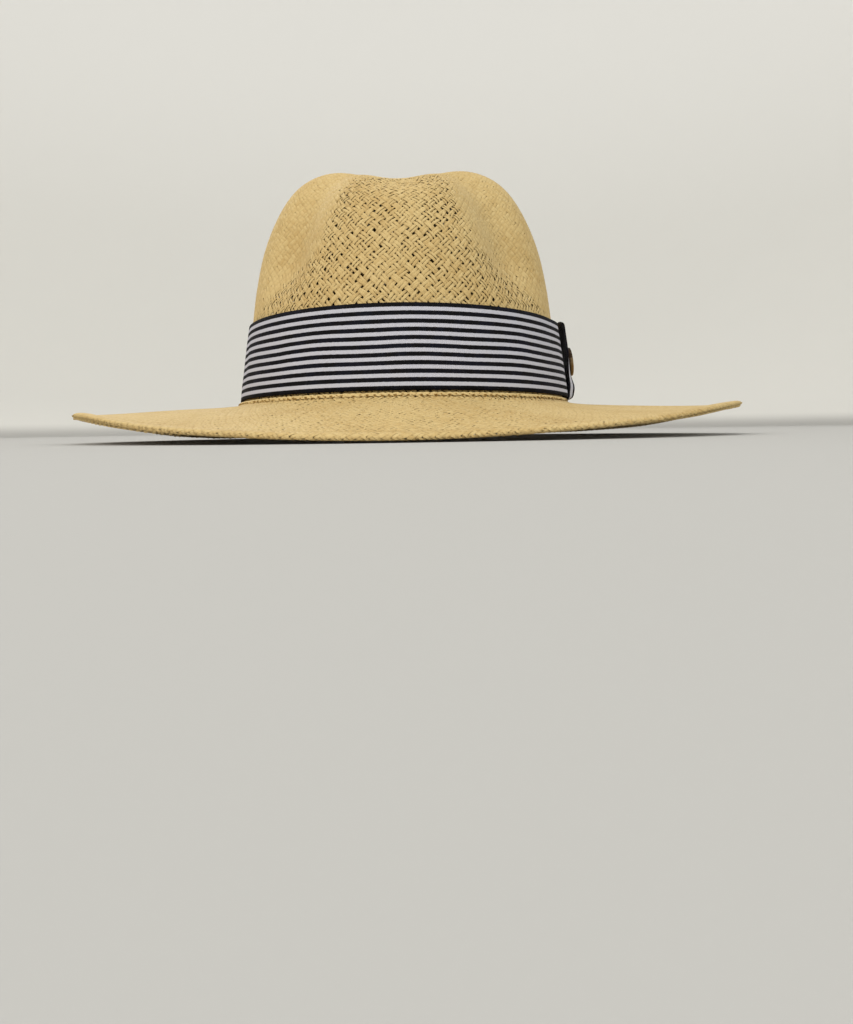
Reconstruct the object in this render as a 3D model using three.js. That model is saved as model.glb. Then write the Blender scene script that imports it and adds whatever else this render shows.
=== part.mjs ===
/**
 * Woven straw fedora with a wide brim, a striped ribbon band, a ribbon keeper and a metal emblem.
 *
 * Units are millimetres and +Z is up. The hat is drawn in its own frame: the band's lower edge lies
 * in the plane z = 0, the front of the hat looks towards -Y and the wearer's left is +X. The whole
 * hat is then leaned back a little, as it rests by itself on the front and the back of its brim,
 * with the middle of its bounding box over the origin.
 *
 * A "turn" is an angle in degrees round the hat: 0 at the front, 90 at the wearer's left.
 */
import * as THREE from 'three';

// ---- Driving dimensions -------------------------------------------------------------------

const GAP = 0.3; // clearance between neighbouring pieces
const STRAW_WALL = 1.8; // crown wall
const RIBBON_WALL = 1.0; // band and keeper
const RIBBON_WIDTH = 38;

// Outer face of the crown, from its foot up and over to the middle of the tip. Each row is an oval
// given by its reach to the side, the front and the back.
const CROWN_SECTIONS = [
  { height: -1.3, side: 86.4, front: 103.4, back: 103.4 },
  { height: 0, side: 85.3, front: 102.1, back: 102.1 },
  { height: 19, side: 82.7, front: 99.0, back: 98.6 },
  { height: 38, side: 79.9, front: 96.0, back: 95.4 },
  { height: 57, side: 77.3, front: 92.6, back: 92.6 },
  { height: 76, side: 73.1, front: 87.0, back: 88.2 },
  { height: 93, side: 66.4, front: 78.5, back: 81.5 },
  { height: 106, side: 58.3, front: 67.5, back: 72.0 },
  { height: 113.5, side: 49.0, front: 55.5, back: 60.0 },
  { height: 117, side: 37.0, front: 42.0, back: 46.5 },
  { height: 118, side: 17.0, front: 22.0, back: 24.0 },
  { height: 118, side: 0, front: 0, back: 0 },
];

// Lengthwise dent in the tip: its depth and half width at stations from front to back.
const DENT = [
  { along: -100, depth: 8.8, halfWidth: 20.5 },
  { along: -62, depth: 10.7, halfWidth: 20.5 },
  { along: -35, depth: 13.9, halfWidth: 22 },
  { along: 0, depth: 16, halfWidth: 23 },
  { along: 35, depth: 13, halfWidth: 24 },
  { along: 62, depth: 4, halfWidth: 22 },
  { along: 100, depth: 0, halfWidth: 20 },
];
const DENT_HEIGHT = 98; // the dent fades out below this height
const DENT_FADE = 5;

// Finger pinch at each side of the front: a groove round the line from its top to its foot.
const PINCH = {
  top: new THREE.Vector3(37, -52, 107),
  foot: new THREE.Vector3(57, -62, 68),
  radius: 21,
  depth: 11,
};

// Brim: an oval ring whose middle surface is at the given heights half way out and at the edge.
const BRIM = { side: 168.6, front: 183, shift: 2.9, root: -2.6, halfWall: 1.0 };
const BRIM_SECTIONS = [
  { turn: 0, half: -11.5, edge: -21.1 },
  { turn: 30, half: -11.6, edge: -16.3 },
  { turn: 60, half: -8.8, edge: -7.3 },
  { turn: 90, half: -4.2, edge: -5.7 },
  { turn: 120, half: -6.0, edge: -12.8 },
  { turn: 150, half: -6.8, edge: -15.5 },
  { turn: 180, half: -7.3, edge: -15.3 },
  { turn: 210, half: -7.2, edge: -15.7 },
  { turn: 240, half: -6.2, edge: -15.4 },
  { turn: 270, half: -3.4, edge: -8.5 },
  { turn: 300, half: -6.8, edge: -8.4 },
  { turn: 330, half: -11.3, edge: -17.2 },
];
const BRIM_STATIONS = [0, 0.04, 0.13, 0.26, 0.4, 0.54, 0.68, 0.81]; // fractions of the way out

// Finished edge of the brim, woven back on itself: half its thickness at an inset from the edge.
const BRIM_EDGE = [
  { inset: 8, half: 1.05 },
  { inset: 6.4, half: 1.45 },
  { inset: 4.2, half: 1.7 },
  { inset: 1.8, half: 1.55 },
  { inset: 0.5, half: 0.95 },
];

// Keeper: a flattened loop of the same ribbon standing upright over the band's join.
const KEEPER = { width: 36, top: RIBBON_WIDTH + 1.7, foot: -0.3, standOffTop: 6.2, standOffFoot: 5.4 };
const KEEPER_BEND = 2.1; // outer radius of the fold at the top and the foot

// Emblem: a round badge with a raised rim round a dish whose middle is slightly domed.
const EMBLEM = {
  radius: 7.6,
  height: 22,
  thickness: 2.4,
  rim: 1.3,
  dish: 0.7,
  dome: 0.5,
  chamfer: 0.4,
};

const CROWN_SIDES = 60;
const CROWN_STEPS_PER_SECTION = 2;
const BRIM_SIDES = 72;
const BAND_STEPS = 4;
const KEEPER_STEPS = 6;
const EMBLEM_SIDES = 28;

// ---- Small helpers ------------------------------------------------------------------------

const radians = THREE.MathUtils.degToRad;

/** Catmull-Rom value of one column, at a position counted in rows. */
function throughRows(rowAt, column, position) {
  const index = Math.floor(position);
  const u = position - index;
  const [p0, p1, p2, p3] = [-1, 0, 1, 2].map((offset) => rowAt(index + offset)[column]);
  const bend = 2 * p0 - 5 * p1 + 4 * p2 - p3;
  const twist = 3 * p1 - p0 - 3 * p2 + p3;
  return 0.5 * (2 * p1 + (p2 - p0) * u + bend * u * u + twist * u * u * u);
}

/** Value of one column at a place on a table whose first column rises, eased between its rows. */
function easedBetween(rows, key, column, place) {
  const next = rows.findIndex((row) => row[key] > place);
  if (next < 1) return rows[next === 0 ? 0 : rows.length - 1][column];
  const [low, high] = [rows[next - 1], rows[next]];
  const share = THREE.MathUtils.smoothstep(place, low[key], high[key]);
  return THREE.MathUtils.lerp(low[column], high[column], share);
}

/** A closed skin put together from rings of points, each joined to the ring before it. */
class Skin {
  constructor() {
    this.positions = [];
    this.faces = [];
  }

  /** Add a ring (or a lone point) and return its vertex numbers. */
  add(points) {
    const first = this.positions.length / 3;
    points.forEach((point) => this.positions.push(point.x, point.y, point.z));
    return points.map((_, index) => first + index);
  }

  /** Join two rings, or a ring and a lone point, with faces to the outside. */
  join(from, to) {
    const sides = Math.max(from.length, to.length);
    for (let side = 0; side < sides; side += 1) {
      const next = (side + 1) % sides;
      if (from.length > 1) this.faces.push(from[side], from[next], to[next % to.length]);
      if (to.length > 1) this.faces.push(from[side % from.length], to[next], to[side]);
    }
  }

  /** Add rings one after another, joined in turn, and the last to the first if asked. */
  sweep(rings, closed) {
    const numbered = rings.map((ring) => this.add(ring));
    numbered.slice(1).forEach((ring, index) => this.join(numbered[index], ring));
    if (closed) this.join(numbered[numbered.length - 1], numbered[0]);
    return this;
  }

  toGeometry() {
    const geometry = new THREE.BufferGeometry();
    geometry.setAttribute('position', new THREE.Float32BufferAttribute(this.positions, 3));
    geometry.setIndex(this.faces);
    geometry.computeVertexNormals();
    return geometry;
  }
}

/** Points of one ring round the hat, from a function of the turn. */
function ringOf(sides, pointAt) {
  return Array.from({ length: sides }, (_, side) => pointAt((side * 360) / sides));
}

// ---- Crown --------------------------------------------------------------------------------

const crownRowAt = (index) =>
  CROWN_SECTIONS[THREE.MathUtils.clamp(index, 0, CROWN_SECTIONS.length - 1)];

/** Plain oval dome before it is dented; climb counts sections up from the foot. */
function domePoint(turn, climb) {
  const [ahead, aside] = [Math.cos(radians(turn)), Math.sin(radians(turn))];
  const reach = throughRows(crownRowAt, ahead > 0 ? 'front' : 'back', climb);
  const side = throughRows(crownRowAt, 'side', climb);
  return new THREE.Vector3(side * aside, -reach * ahead, throughRows(crownRowAt, 'height', climb));
}

/** How far the two finger pinches push a point in towards the middle of the hat. */
function pinchDepth(point) {
  const mirrored = new THREE.Vector3(Math.abs(point.x), point.y, point.z);
  const groove = new THREE.Line3(PINCH.top, PINCH.foot);
  const nearest = groove.closestPointToPoint(mirrored, true, new THREE.Vector3());
  return PINCH.depth * Math.exp(-((mirrored.distanceTo(nearest) / PINCH.radius) ** 2));
}

/** How far the dent in the tip lowers a point. */
function dentDepth(point) {
  const depth = easedBetween(DENT, 'along', 'depth', point.y);
  const halfWidth = easedBetween(DENT, 'along', 'halfWidth', point.y);
  const onTop = 1 / (1 + Math.exp((DENT_HEIGHT - point.z) / DENT_FADE));
  return depth * Math.exp(-((point.x / halfWidth) ** 2)) * onTop;
}

/** Outer face of the crown with its pinches and its dent. */
function crownPoint(turn, climb) {
  const point = domePoint(turn, climb);
  const radius = Math.hypot(point.x, point.y);
  const kept = radius > 0 ? 1 - pinchDepth(point) / radius : 1;
  point.set(point.x * kept, point.y * kept, point.z);
  point.z -= dentDepth(point);
  return point;
}

/** A point a wall's thickness inside the outer face; below the band the wall is measured level. */
function crownInside(turn, climb) {
  const [sweep, rise] = [1, 0.05];
  const last = CROWN_SECTIONS.length - 1;
  const along = crownPoint(turn + sweep, climb).sub(crownPoint(turn - sweep, climb));
  const above = crownPoint(turn, Math.min(climb + rise, last));
  const upward = above.sub(crownPoint(turn, Math.max(climb - rise, 0)));
  const normal = climb < last ? along.cross(upward) : new THREE.Vector3(0, 0, 1);
  if (climb < 1) normal.setZ(0);
  return crownPoint(turn, climb).addScaledVector(normal.normalize(), -STRAW_WALL);
}

function crownGeometry() {
  const last = CROWN_SECTIONS.length - 1;
  const steps = last * CROWN_STEPS_PER_SECTION;
  const outer = [];
  const inner = [];
  for (let step = 0; step < steps; step += 1) {
    const climb = (step * last) / steps;
    outer.push(ringOf(CROWN_SIDES, (turn) => crownPoint(turn, climb)));
    inner.unshift(ringOf(CROWN_SIDES, (turn) => crownInside(turn, climb)));
  }
  const tips = [[crownPoint(0, last)], [crownInside(0, last)]];
  const skin = new Skin();
  const up = [...outer, tips[0]].map((ring) => skin.add(ring));
  const down = [tips[1], ...inner].map((ring) => skin.add(ring));
  [up, down].forEach((rings) => {
    rings.slice(1).forEach((ring, index) => skin.join(rings[index], ring));
  });
  skin.join(down[down.length - 1], up[0]);
  return skin.toGeometry();
}

/** Reach of the crown's outer face to the side and the front or back, at a height by the band. */
function crownReach(height) {
  const next = CROWN_SECTIONS.findIndex((row) => row.height > height);
  const [low, high] = [CROWN_SECTIONS[next - 1], CROWN_SECTIONS[next]];
  const climb = next - 1 + (height - low.height) / (high.height - low.height);
  return ['side', 'front', 'back'].map((column) => throughRows(crownRowAt, column, climb));
}

// ---- Brim ---------------------------------------------------------------------------------

const brimRowAt = (index) =>
  BRIM_SECTIONS[THREE.MathUtils.euclideanModulo(index, BRIM_SECTIONS.length)];

/** Middle surface of the brim at a turn and a fraction of the way out. */
function brimPoint(turn, out) {
  const [ahead, aside] = [Math.cos(radians(turn)), Math.sin(radians(turn))];
  const position = (turn * BRIM_SECTIONS.length) / 360;
  const half = throughRows(brimRowAt, 'half', position) - BRIM.root;
  const edge = throughRows(brimRowAt, 'edge', position) - BRIM.root;
  const height = BRIM.root + (4 * half - edge) * out + (2 * edge - 4 * half) * out * out;
  const [side, front] = crownReach(0).map((reach) => reach - STRAW_WALL);
  return new THREE.Vector3(
    THREE.MathUtils.lerp(side, BRIM.side, out) * aside + BRIM.shift * out,
    -THREE.MathUtils.lerp(front, BRIM.front, out) * ahead,
    height,
  );
}

function brimGeometry() {
  const width = BRIM.side - crownReach(0)[0] + STRAW_WALL;
  const stations = [
    ...BRIM_STATIONS.map((out) => ({ out, half: BRIM.halfWall })),
    ...BRIM_EDGE.map(({ inset, half }) => ({ out: 1 - inset / width, half })),
  ];
  const face = ({ out, half }, side) =>
    ringOf(BRIM_SIDES, (turn) => brimPoint(turn, out).add(new THREE.Vector3(0, 0, side * half)));
  const under = stations.map((station) => face(station, -1));
  const rim = ringOf(BRIM_SIDES, (turn) => brimPoint(turn, 1));
  const over = stations.map((station) => face(station, 1)).reverse();
  return new Skin().sweep([...under, rim, ...over], true).toGeometry();
}

// ---- Ribbon band, keeper and emblem -------------------------------------------------------

/** A point off the crown's outer face, level with it, beside the band. */
function besideCrown(turn, height, standOff) {
  const [side, front, back] = crownReach(height);
  const [ahead, aside] = [Math.cos(radians(turn)), Math.sin(radians(turn))];
  const reach = ahead > 0 ? front : back;
  const out = new THREE.Vector3(aside / side, -ahead / reach, 0).normalize();
  return new THREE.Vector3(side * aside, -reach * ahead, height).addScaledVector(out, standOff);
}

function bandGeometry() {
  const heights = Array.from({ length: BAND_STEPS + 1 }, (_, k) => (k * RIBBON_WIDTH) / BAND_STEPS);
  const wall = (standOff) =>
    heights.map((height) => ringOf(CROWN_SIDES, (turn) => besideCrown(turn, height, standOff)));
  const rings = [...wall(GAP + RIBBON_WALL), ...wall(GAP).reverse()];
  return new Skin().sweep(rings, true).toGeometry();
}

/** Outline of the keeper's loop as height and stand-off, inset by part of the ribbon's wall. */
function keeperOutline(inset) {
  const inner = 2 * GAP + RIBBON_WALL;
  const bend = KEEPER_BEND - inset;
  const corner = (height, standOff, from) =>
    [0, 30, 60, 90].map((angle) => ({
      height: height + bend * Math.sin(radians(from + angle)),
      standOff: standOff + bend * Math.cos(radians(from + angle)),
    }));
  const [topHeight, footHeight] = [KEEPER.top - KEEPER_BEND, KEEPER.foot + KEEPER_BEND];
  const back = inner + KEEPER_BEND;
  return [
    ...corner(footHeight, KEEPER.standOffFoot - KEEPER_BEND, -90),
    ...corner(topHeight, KEEPER.standOffTop - KEEPER_BEND, 0),
    ...corner(topHeight, back, 90),
    ...corner(footHeight, back, 180),
  ];
}

function keeperGeometry() {
  const front = crownReach(RIBBON_WIDTH / 2)[1];
  const halfTurn = THREE.MathUtils.radToDeg(Math.asin(KEEPER.width / 2 / front));
  const turns = Array.from({ length: KEEPER_STEPS + 1 }, (_, k) => {
    return 90 + halfTurn * ((2 * k) / KEEPER_STEPS - 1);
  });
  const loops = (inset) =>
    turns.map((turn) =>
      keeperOutline(inset).map(({ height, standOff }) => {
        const level = THREE.MathUtils.clamp(height, 0, RIBBON_WIDTH);
        const point = besideCrown(turn, level, standOff);
        point.z = height;
        return point;
      }),
    );
  const rings = [...loops(0).reverse(), ...loops(RIBBON_WALL)];
  return new Skin().sweep(rings, true).toGeometry();
}

/** A round dished badge, turned on its own axis with its flat back in the plane y = 0. */
function emblemGeometry() {
  const { radius, thickness, rim, dish, dome, chamfer } = EMBLEM;
  const floor = thickness - dish;
  const profile = [
    [0, 0],
    [radius - chamfer, 0],
    [radius, chamfer],
    [radius, thickness - chamfer],
    [radius - chamfer, thickness],
    [radius - rim, thickness],
    [radius - rim - chamfer, floor],
    [radius / 2, floor + dome * 0.75],
    [0, floor + dome],
  ];
  const points = profile.map(([out, up]) => new THREE.Vector2(out, up));
  return new THREE.LatheGeometry(points, EMBLEM_SIDES);
}

// ---- The hat ------------------------------------------------------------------------------

function piece(name, geometry, { color, roughness, metalness = 0 }) {
  const material = new THREE.MeshStandardMaterial({ color, roughness, metalness });
  const mesh = new THREE.Mesh(geometry, material);
  mesh.name = name;
  return mesh;
}

/** Seat the emblem on the keeper's outer face, leaned as that face leans. */
function seatEmblem(emblem) {
  const faceAt = (height) => {
    const share = (height - KEEPER.foot) / (KEEPER.top - KEEPER.foot);
    const standOff = THREE.MathUtils.lerp(KEEPER.standOffFoot, KEEPER.standOffTop, share);
    return besideCrown(90, height, standOff);
  };
  const slope = faceAt(EMBLEM.height + EMBLEM.radius).sub(faceAt(EMBLEM.height - EMBLEM.radius));
  const lean = Math.atan2(-slope.x, slope.z);
  const outward = new THREE.Vector3(Math.cos(lean), 0, Math.sin(lean));
  emblem.rotation.z = -Math.PI / 2;
  const pivot = new THREE.Group();
  pivot.rotation.y = -lean;
  pivot.position.copy(faceAt(EMBLEM.height).addScaledVector(outward, GAP));
  return pivot.add(emblem);
}

/** Lean that puts the lowest points at the front and the back of the brim on one level. */
function restingLean() {
  const back = [150, 210].map((turn) => brimPoint(turn, 1)).sort((a, b) => a.z - b.z)[0];
  const front = brimPoint(0, 1);
  return Math.atan2(back.z - front.z, back.y - front.y);
}

const STRAW = { color: 0xd8bf8a, roughness: 0.75 };
const RIBBON = { color: 0x23243a, roughness: 0.85 };
const BRASS = { color: 0xb08a4a, roughness: 0.35, metalness: 1 };

const hat = new THREE.Group();
hat.add(
  piece('crown', crownGeometry(), STRAW),
  piece('brim', brimGeometry(), STRAW),
  piece('hat_band', bandGeometry(), RIBBON),
  piece('band_keeper', keeperGeometry(), RIBBON),
  seatEmblem(piece('emblem', emblemGeometry(), BRASS)),
);
hat.rotation.x = -restingLean();

const box = new THREE.Box3().setFromObject(hat, true);
const middle = box.getCenter(new THREE.Vector3());
hat.position.set(-middle.x, -middle.y, -box.min.z);

export default hat;
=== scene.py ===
"""Woven straw fedora with a wide brim, a striped ribbon band, a ribbon keeper and a round metal emblem.

The hat is drawn in its own frame, in millimetres: the band's lower edge lies in the plane z = 0, the
front looks towards -Y and the wearer's left is +X. HatForm leans that frame and sets it down where the
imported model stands, in metres. A turn is an angle in degrees round the hat, 0 at the front and 90 at
the wearer's left.
"""
import logging
import math
from collections.abc import Callable
from dataclasses import dataclass
from enum import Enum
from functools import partial
from typing import Any

import bpy
import numpy as np
from mathutils import Matrix, Vector


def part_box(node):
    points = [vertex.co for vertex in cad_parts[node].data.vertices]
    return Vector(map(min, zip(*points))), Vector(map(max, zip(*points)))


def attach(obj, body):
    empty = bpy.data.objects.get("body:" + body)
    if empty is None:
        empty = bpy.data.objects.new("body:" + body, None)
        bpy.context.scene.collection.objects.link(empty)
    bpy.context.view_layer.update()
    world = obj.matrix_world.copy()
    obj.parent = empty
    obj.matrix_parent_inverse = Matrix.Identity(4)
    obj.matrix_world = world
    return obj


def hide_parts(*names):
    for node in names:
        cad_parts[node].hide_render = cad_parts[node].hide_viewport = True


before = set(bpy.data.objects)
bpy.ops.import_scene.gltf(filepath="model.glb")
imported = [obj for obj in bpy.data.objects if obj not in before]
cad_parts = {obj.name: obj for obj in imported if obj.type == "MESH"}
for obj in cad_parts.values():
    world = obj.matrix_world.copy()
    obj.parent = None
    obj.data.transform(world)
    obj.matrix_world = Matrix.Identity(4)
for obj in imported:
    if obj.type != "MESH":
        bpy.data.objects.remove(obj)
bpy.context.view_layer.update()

MM = 0.001
BODY = "root"
SEED = 11
TINY = 1e-9  # keeps a division from zero

log = logging.getLogger("fedora")


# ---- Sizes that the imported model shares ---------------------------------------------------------

GAP = 0.3  # clearance between neighbouring pieces
STRAW_WALL = 1.8
RIBBON_WIDTH = 38.0
RIBBON_WALL = 1.0

# Outer face of the crown from its foot up to the middle of the tip: each row is an oval.
CROWN_COLUMNS = ("height", "side", "front", "back")
CROWN_SECTIONS = (
    (-1.3, 86.4, 103.4, 103.4),
    (0, 85.3, 102.1, 102.1),
    (19, 82.7, 99.0, 98.6),
    (38, 79.9, 96.0, 95.4),
    (57, 77.3, 92.6, 92.6),
    (76, 73.1, 87.0, 88.2),
    (93, 66.4, 78.5, 81.5),
    (106, 58.3, 67.5, 72.0),
    (113.5, 49.0, 55.5, 60.0),
    (117, 37.0, 42.0, 46.5),
    (118, 17.0, 22.0, 24.0),
    (118, 0, 0, 0),
)

# Lengthwise dent in the tip, from front to back.
DENT_COLUMNS = ("along", "depth", "half_width")
DENT = (
    (-100, 8.8, 20.5),
    (-62, 10.7, 20.5),
    (-35, 13.9, 22),
    (0, 16, 23),
    (35, 13, 24),
    (62, 4, 22),
    (100, 0, 20),
)
DENT_HEIGHT = 98.0
DENT_FADE = 5.0

# Finger pinch at each side of the front: a groove round the line from its top to its foot.
PINCH_TOP = (37.0, -52.0, 107.0)
PINCH_FOOT = (57.0, -62.0, 68.0)
PINCH_RADIUS = 21.0
PINCH_DEPTH = 11.0

# Brim: heights of its middle surface half way out and at the edge, from the front round the hat.
BRIM_SIDE = 168.6
BRIM_FRONT = 183.0
BRIM_SHIFT = 2.9
BRIM_ROOT = -2.6
BRIM_COLUMNS = ("half", "edge")
BRIM_SECTIONS = (
    (-11.5, -21.1),
    (-11.6, -16.3),
    (-8.8, -7.3),
    (-4.2, -5.7),
    (-6.0, -12.8),
    (-6.8, -15.5),
    (-7.3, -15.3),
    (-7.2, -15.7),
    (-6.2, -15.4),
    (-3.4, -8.5),
    (-6.8, -8.4),
    (-11.3, -17.2),
)

# Keeper.
KEEPER_WIDTH = 36.0
KEEPER_TOP = RIBBON_WIDTH + 1.7
KEEPER_FOOT = -0.3
KEEPER_TURN = 90.0
STAND_OFF_TOP = 6.2
STAND_OFF_FOOT = 5.4


def column(rows: tuple, columns: tuple, name: str) -> np.ndarray:
    """One named column of a table as an array."""
    return np.array([row[columns.index(name)] for row in rows], float)


def through_rows(values: np.ndarray, position: np.ndarray, around: bool = False) -> np.ndarray:
    """Smooth Catmull-Rom value of a column at positions counted in rows.

    Args:
        values: The column.
        position: Where to read it, in rows.
        around: Whether the last row meets the first.

    Returns:
        The values, in the positions' shape.
    """
    index = np.floor(position).astype(int)
    share = position - index
    past = "wrap" if around else "clip"
    before, low, high, after = (np.take(values, index + row, mode=past) for row in (-1, 0, 1, 2))
    bend = 2 * before - 5 * low + 4 * high - after
    twist = 3 * low - before - 3 * high + after
    return 0.5 * (2 * low + (high - before) * share + bend * share**2 + twist * share**3)


def mix(low: Any, high: Any, share: np.ndarray) -> np.ndarray:
    """A value a share of the way from one to another."""
    return low + (high - low) * share


def ramp(value: np.ndarray, start: float, span: float) -> np.ndarray:
    """A straight rise from 0 at its start to 1 a span on, which may be negative."""
    return np.clip((value - start) / span, 0, 1)


def smooth(share: np.ndarray) -> np.ndarray:
    """A share from 0 to 1, eased at both ends."""
    return share**2 * (3 - 2 * share)


def bell(value: np.ndarray, middle: float, width: float) -> np.ndarray:
    """A bell curve, 1 at its middle."""
    return np.exp(-(((value - middle) / width) ** 2))


def wave(angle: np.ndarray, count: float, phase: Any) -> np.ndarray:
    """A wave with a number of crests in a full turn, at angles in radians."""
    return np.sin(angle * count + phase)


def eased(places: np.ndarray, values: np.ndarray, place: np.ndarray) -> np.ndarray:
    """Value at a place on a table whose first column rises, eased between its rows."""
    index = np.clip(np.searchsorted(places, place, side="right") - 1, 0, len(places) - 2)
    share = ramp(place, places[index], places[index + 1] - places[index])
    return mix(values[index], values[index + 1], smooth(share))


def unit(vectors: np.ndarray) -> np.ndarray:
    """The vectors at length one."""
    return vectors / np.maximum(np.linalg.norm(vectors, axis=-1, keepdims=True), TINY)


@dataclass
class HatForm:
    """The surfaces that every piece follows, in the hat's own frame, and its place in the world."""

    cad_sides: int = 60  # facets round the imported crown
    cad_steps: int = 22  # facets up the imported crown
    back_rests: tuple = (150.0, 210.0)  # turns at which the back of the brim's edge is lowest
    band_rows: int = 5  # rows of the crown's table from its foot up past the band

    def __post_init__(self) -> None:
        """Work out the lean of the resting hat and where its frame stands."""
        self.top = float(len(CROWN_SECTIONS) - 1)
        back = self.brim(np.array(self.back_rests), np.ones(len(self.back_rests)))
        back = back[np.argmin(back[:, 2])]
        front = self.brim(np.zeros(1), np.ones(1))[0]
        self.lean = -math.atan2(back[2] - front[2], back[1] - front[1])
        self.seat = np.zeros(3)
        self.seat = self.find_seat()

    def find_seat(self) -> np.ndarray:
        """Where the hat's own origin stands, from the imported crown's box."""
        turns = np.arange(self.cad_sides) * 360 / self.cad_sides
        climbs = np.arange(self.cad_steps + 1) * self.top / self.cad_steps
        points = self.to_world(self.crown(*np.meshgrid(turns, climbs))).reshape(-1, 3)
        low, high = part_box("crown")
        middle = (np.array(low) + np.array(high)) / 2 - (points.min(0) + points.max(0)) / 2
        return np.array([middle[0], middle[1], high[2] - points[:, 2].max()]) / MM

    def to_world(self, points: np.ndarray) -> np.ndarray:
        """Points of the hat's frame, in millimetres, as points of the world, in metres."""
        level, rise = math.cos(self.lean), math.sin(self.lean)
        turn = np.array([[1, 0, 0], [0, level, -rise], [0, rise, level]])
        return (points @ turn.T + self.seat) * MM

    def dome(self, turn: np.ndarray, climb: np.ndarray) -> np.ndarray:
        """Plain oval dome before it is dented; climb counts sections up from the foot."""
        ahead, aside = np.cos(np.radians(turn)), np.sin(np.radians(turn))
        height, side, front, back = (
            through_rows(column(CROWN_SECTIONS, CROWN_COLUMNS, name), climb)
            for name in CROWN_COLUMNS
        )
        reach = np.where(ahead > 0, front, back)
        return np.stack(np.broadcast_arrays(side * aside, -reach * ahead, height), -1)

    def crown(self, turn: np.ndarray, climb: np.ndarray) -> np.ndarray:
        """Outer face of the crown with its pinches and its dent."""
        point = self.dome(turn, climb)
        radius = np.maximum(np.linalg.norm(point[..., :2], axis=-1), TINY)
        mirrored = np.concatenate([np.abs(point[..., :1]), point[..., 1:]], -1)
        top, groove = np.array(PINCH_TOP), np.array(PINCH_FOOT) - np.array(PINCH_TOP)
        along = np.clip((mirrored - top) @ groove / (groove @ groove), 0, 1)
        away = np.linalg.norm(mirrored - top - along[..., None] * groove, axis=-1)
        kept = 1 - PINCH_DEPTH * bell(away, 0, PINCH_RADIUS) / radius
        point[..., :2] *= np.where(climb < self.top, kept, 1)[..., None]
        places = column(DENT, DENT_COLUMNS, "along")
        depth = eased(places, column(DENT, DENT_COLUMNS, "depth"), point[..., 1])
        half_width = eased(places, column(DENT, DENT_COLUMNS, "half_width"), point[..., 1])
        on_top = 1 / (1 + np.exp((DENT_HEIGHT - point[..., 2]) / DENT_FADE))
        point[..., 2] -= depth * bell(point[..., 0], 0, half_width) * on_top
        return point

    def crown_reach(self, height: np.ndarray) -> tuple[np.ndarray, np.ndarray, np.ndarray]:
        """Reach of the crown's outer face to side, front and back, at heights beside the band."""
        heights = column(CROWN_SECTIONS, CROWN_COLUMNS, "height")[: self.band_rows]
        climb = np.interp(height, heights, np.arange(self.band_rows))
        return tuple(
            through_rows(column(CROWN_SECTIONS, CROWN_COLUMNS, name), climb)
            for name in CROWN_COLUMNS[1:]
        )

    def brim(self, turn: np.ndarray, out: np.ndarray) -> np.ndarray:
        """Middle surface of the brim at a turn and a fraction of the way out."""
        ahead, aside = np.cos(np.radians(turn)), np.sin(np.radians(turn))
        position = turn * len(BRIM_SECTIONS) / 360
        half, edge = (
            through_rows(column(BRIM_SECTIONS, BRIM_COLUMNS, name), position, True) - BRIM_ROOT
            for name in BRIM_COLUMNS
        )
        height = BRIM_ROOT + (4 * half - edge) * out + (2 * edge - 4 * half) * out**2
        side, front = (reach - STRAW_WALL for reach in self.crown_reach(np.zeros(1))[:2])
        x = mix(side, BRIM_SIDE, out) * aside + BRIM_SHIFT * out
        y = -mix(front, BRIM_FRONT, out) * ahead
        return np.stack(np.broadcast_arrays(x, y, height), -1)

    def beside_crown(
        self, turn: np.ndarray, height: np.ndarray, stand_off: np.ndarray
    ) -> np.ndarray:
        """A point a stand-off away from the crown's outer face, at a turn and a height."""
        level = np.clip(height, 0, RIBBON_WIDTH)
        side, front, back = self.crown_reach(level)
        ahead, aside = np.cos(np.radians(turn)), np.sin(np.radians(turn))
        reach = np.where(ahead > 0, front, back)
        out = unit(np.stack(np.broadcast_arrays(aside / side, -ahead / reach, 0 * side), -1))
        point = np.stack(np.broadcast_arrays(side * aside, -reach * ahead, height), -1)
        return point + out * np.asarray(stand_off)[..., None]


# ---- Shaders ------------------------------------------------------------------------------------


class Wire:
    """One output socket, which Python's operators join to numbers and to other wires."""

    def __init__(self, shader: "Shader", socket: bpy.types.NodeSocket) -> None:
        """Keep the shader that the socket's node is in."""
        self.shader = shader
        self.socket = socket

    def maths(self, operation: str, *values: Any) -> "Wire":
        """A Math node on these values."""
        return self.shader.add("ShaderNodeMath", {"operation": operation}, dict(enumerate(values)))

    def __add__(self, other: Any) -> "Wire":
        """The sum."""
        return self.maths("ADD", self, other)

    def __sub__(self, other: Any) -> "Wire":
        """The difference."""
        return self.maths("SUBTRACT", self, other)

    def __mul__(self, other: Any) -> "Wire":
        """The product."""
        return self.maths("MULTIPLY", self, other)

    def __truediv__(self, other: Any) -> "Wire":
        """The quotient."""
        return self.maths("DIVIDE", self, other)

    def __rsub__(self, other: Any) -> "Wire":
        """A number less this wire."""
        return self.maths("SUBTRACT", other, self)

    __radd__ = __add__
    __rmul__ = __mul__

    def step(self, low: float, high: float) -> "Wire":
        """A smooth rise from 0 to 1 between two values."""
        settings = {"interpolation_type": "SMOOTHSTEP"}
        values = {"Value": self, "From Min": low, "From Max": high}
        return self.shader.add("ShaderNodeMapRange", settings, values)


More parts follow.
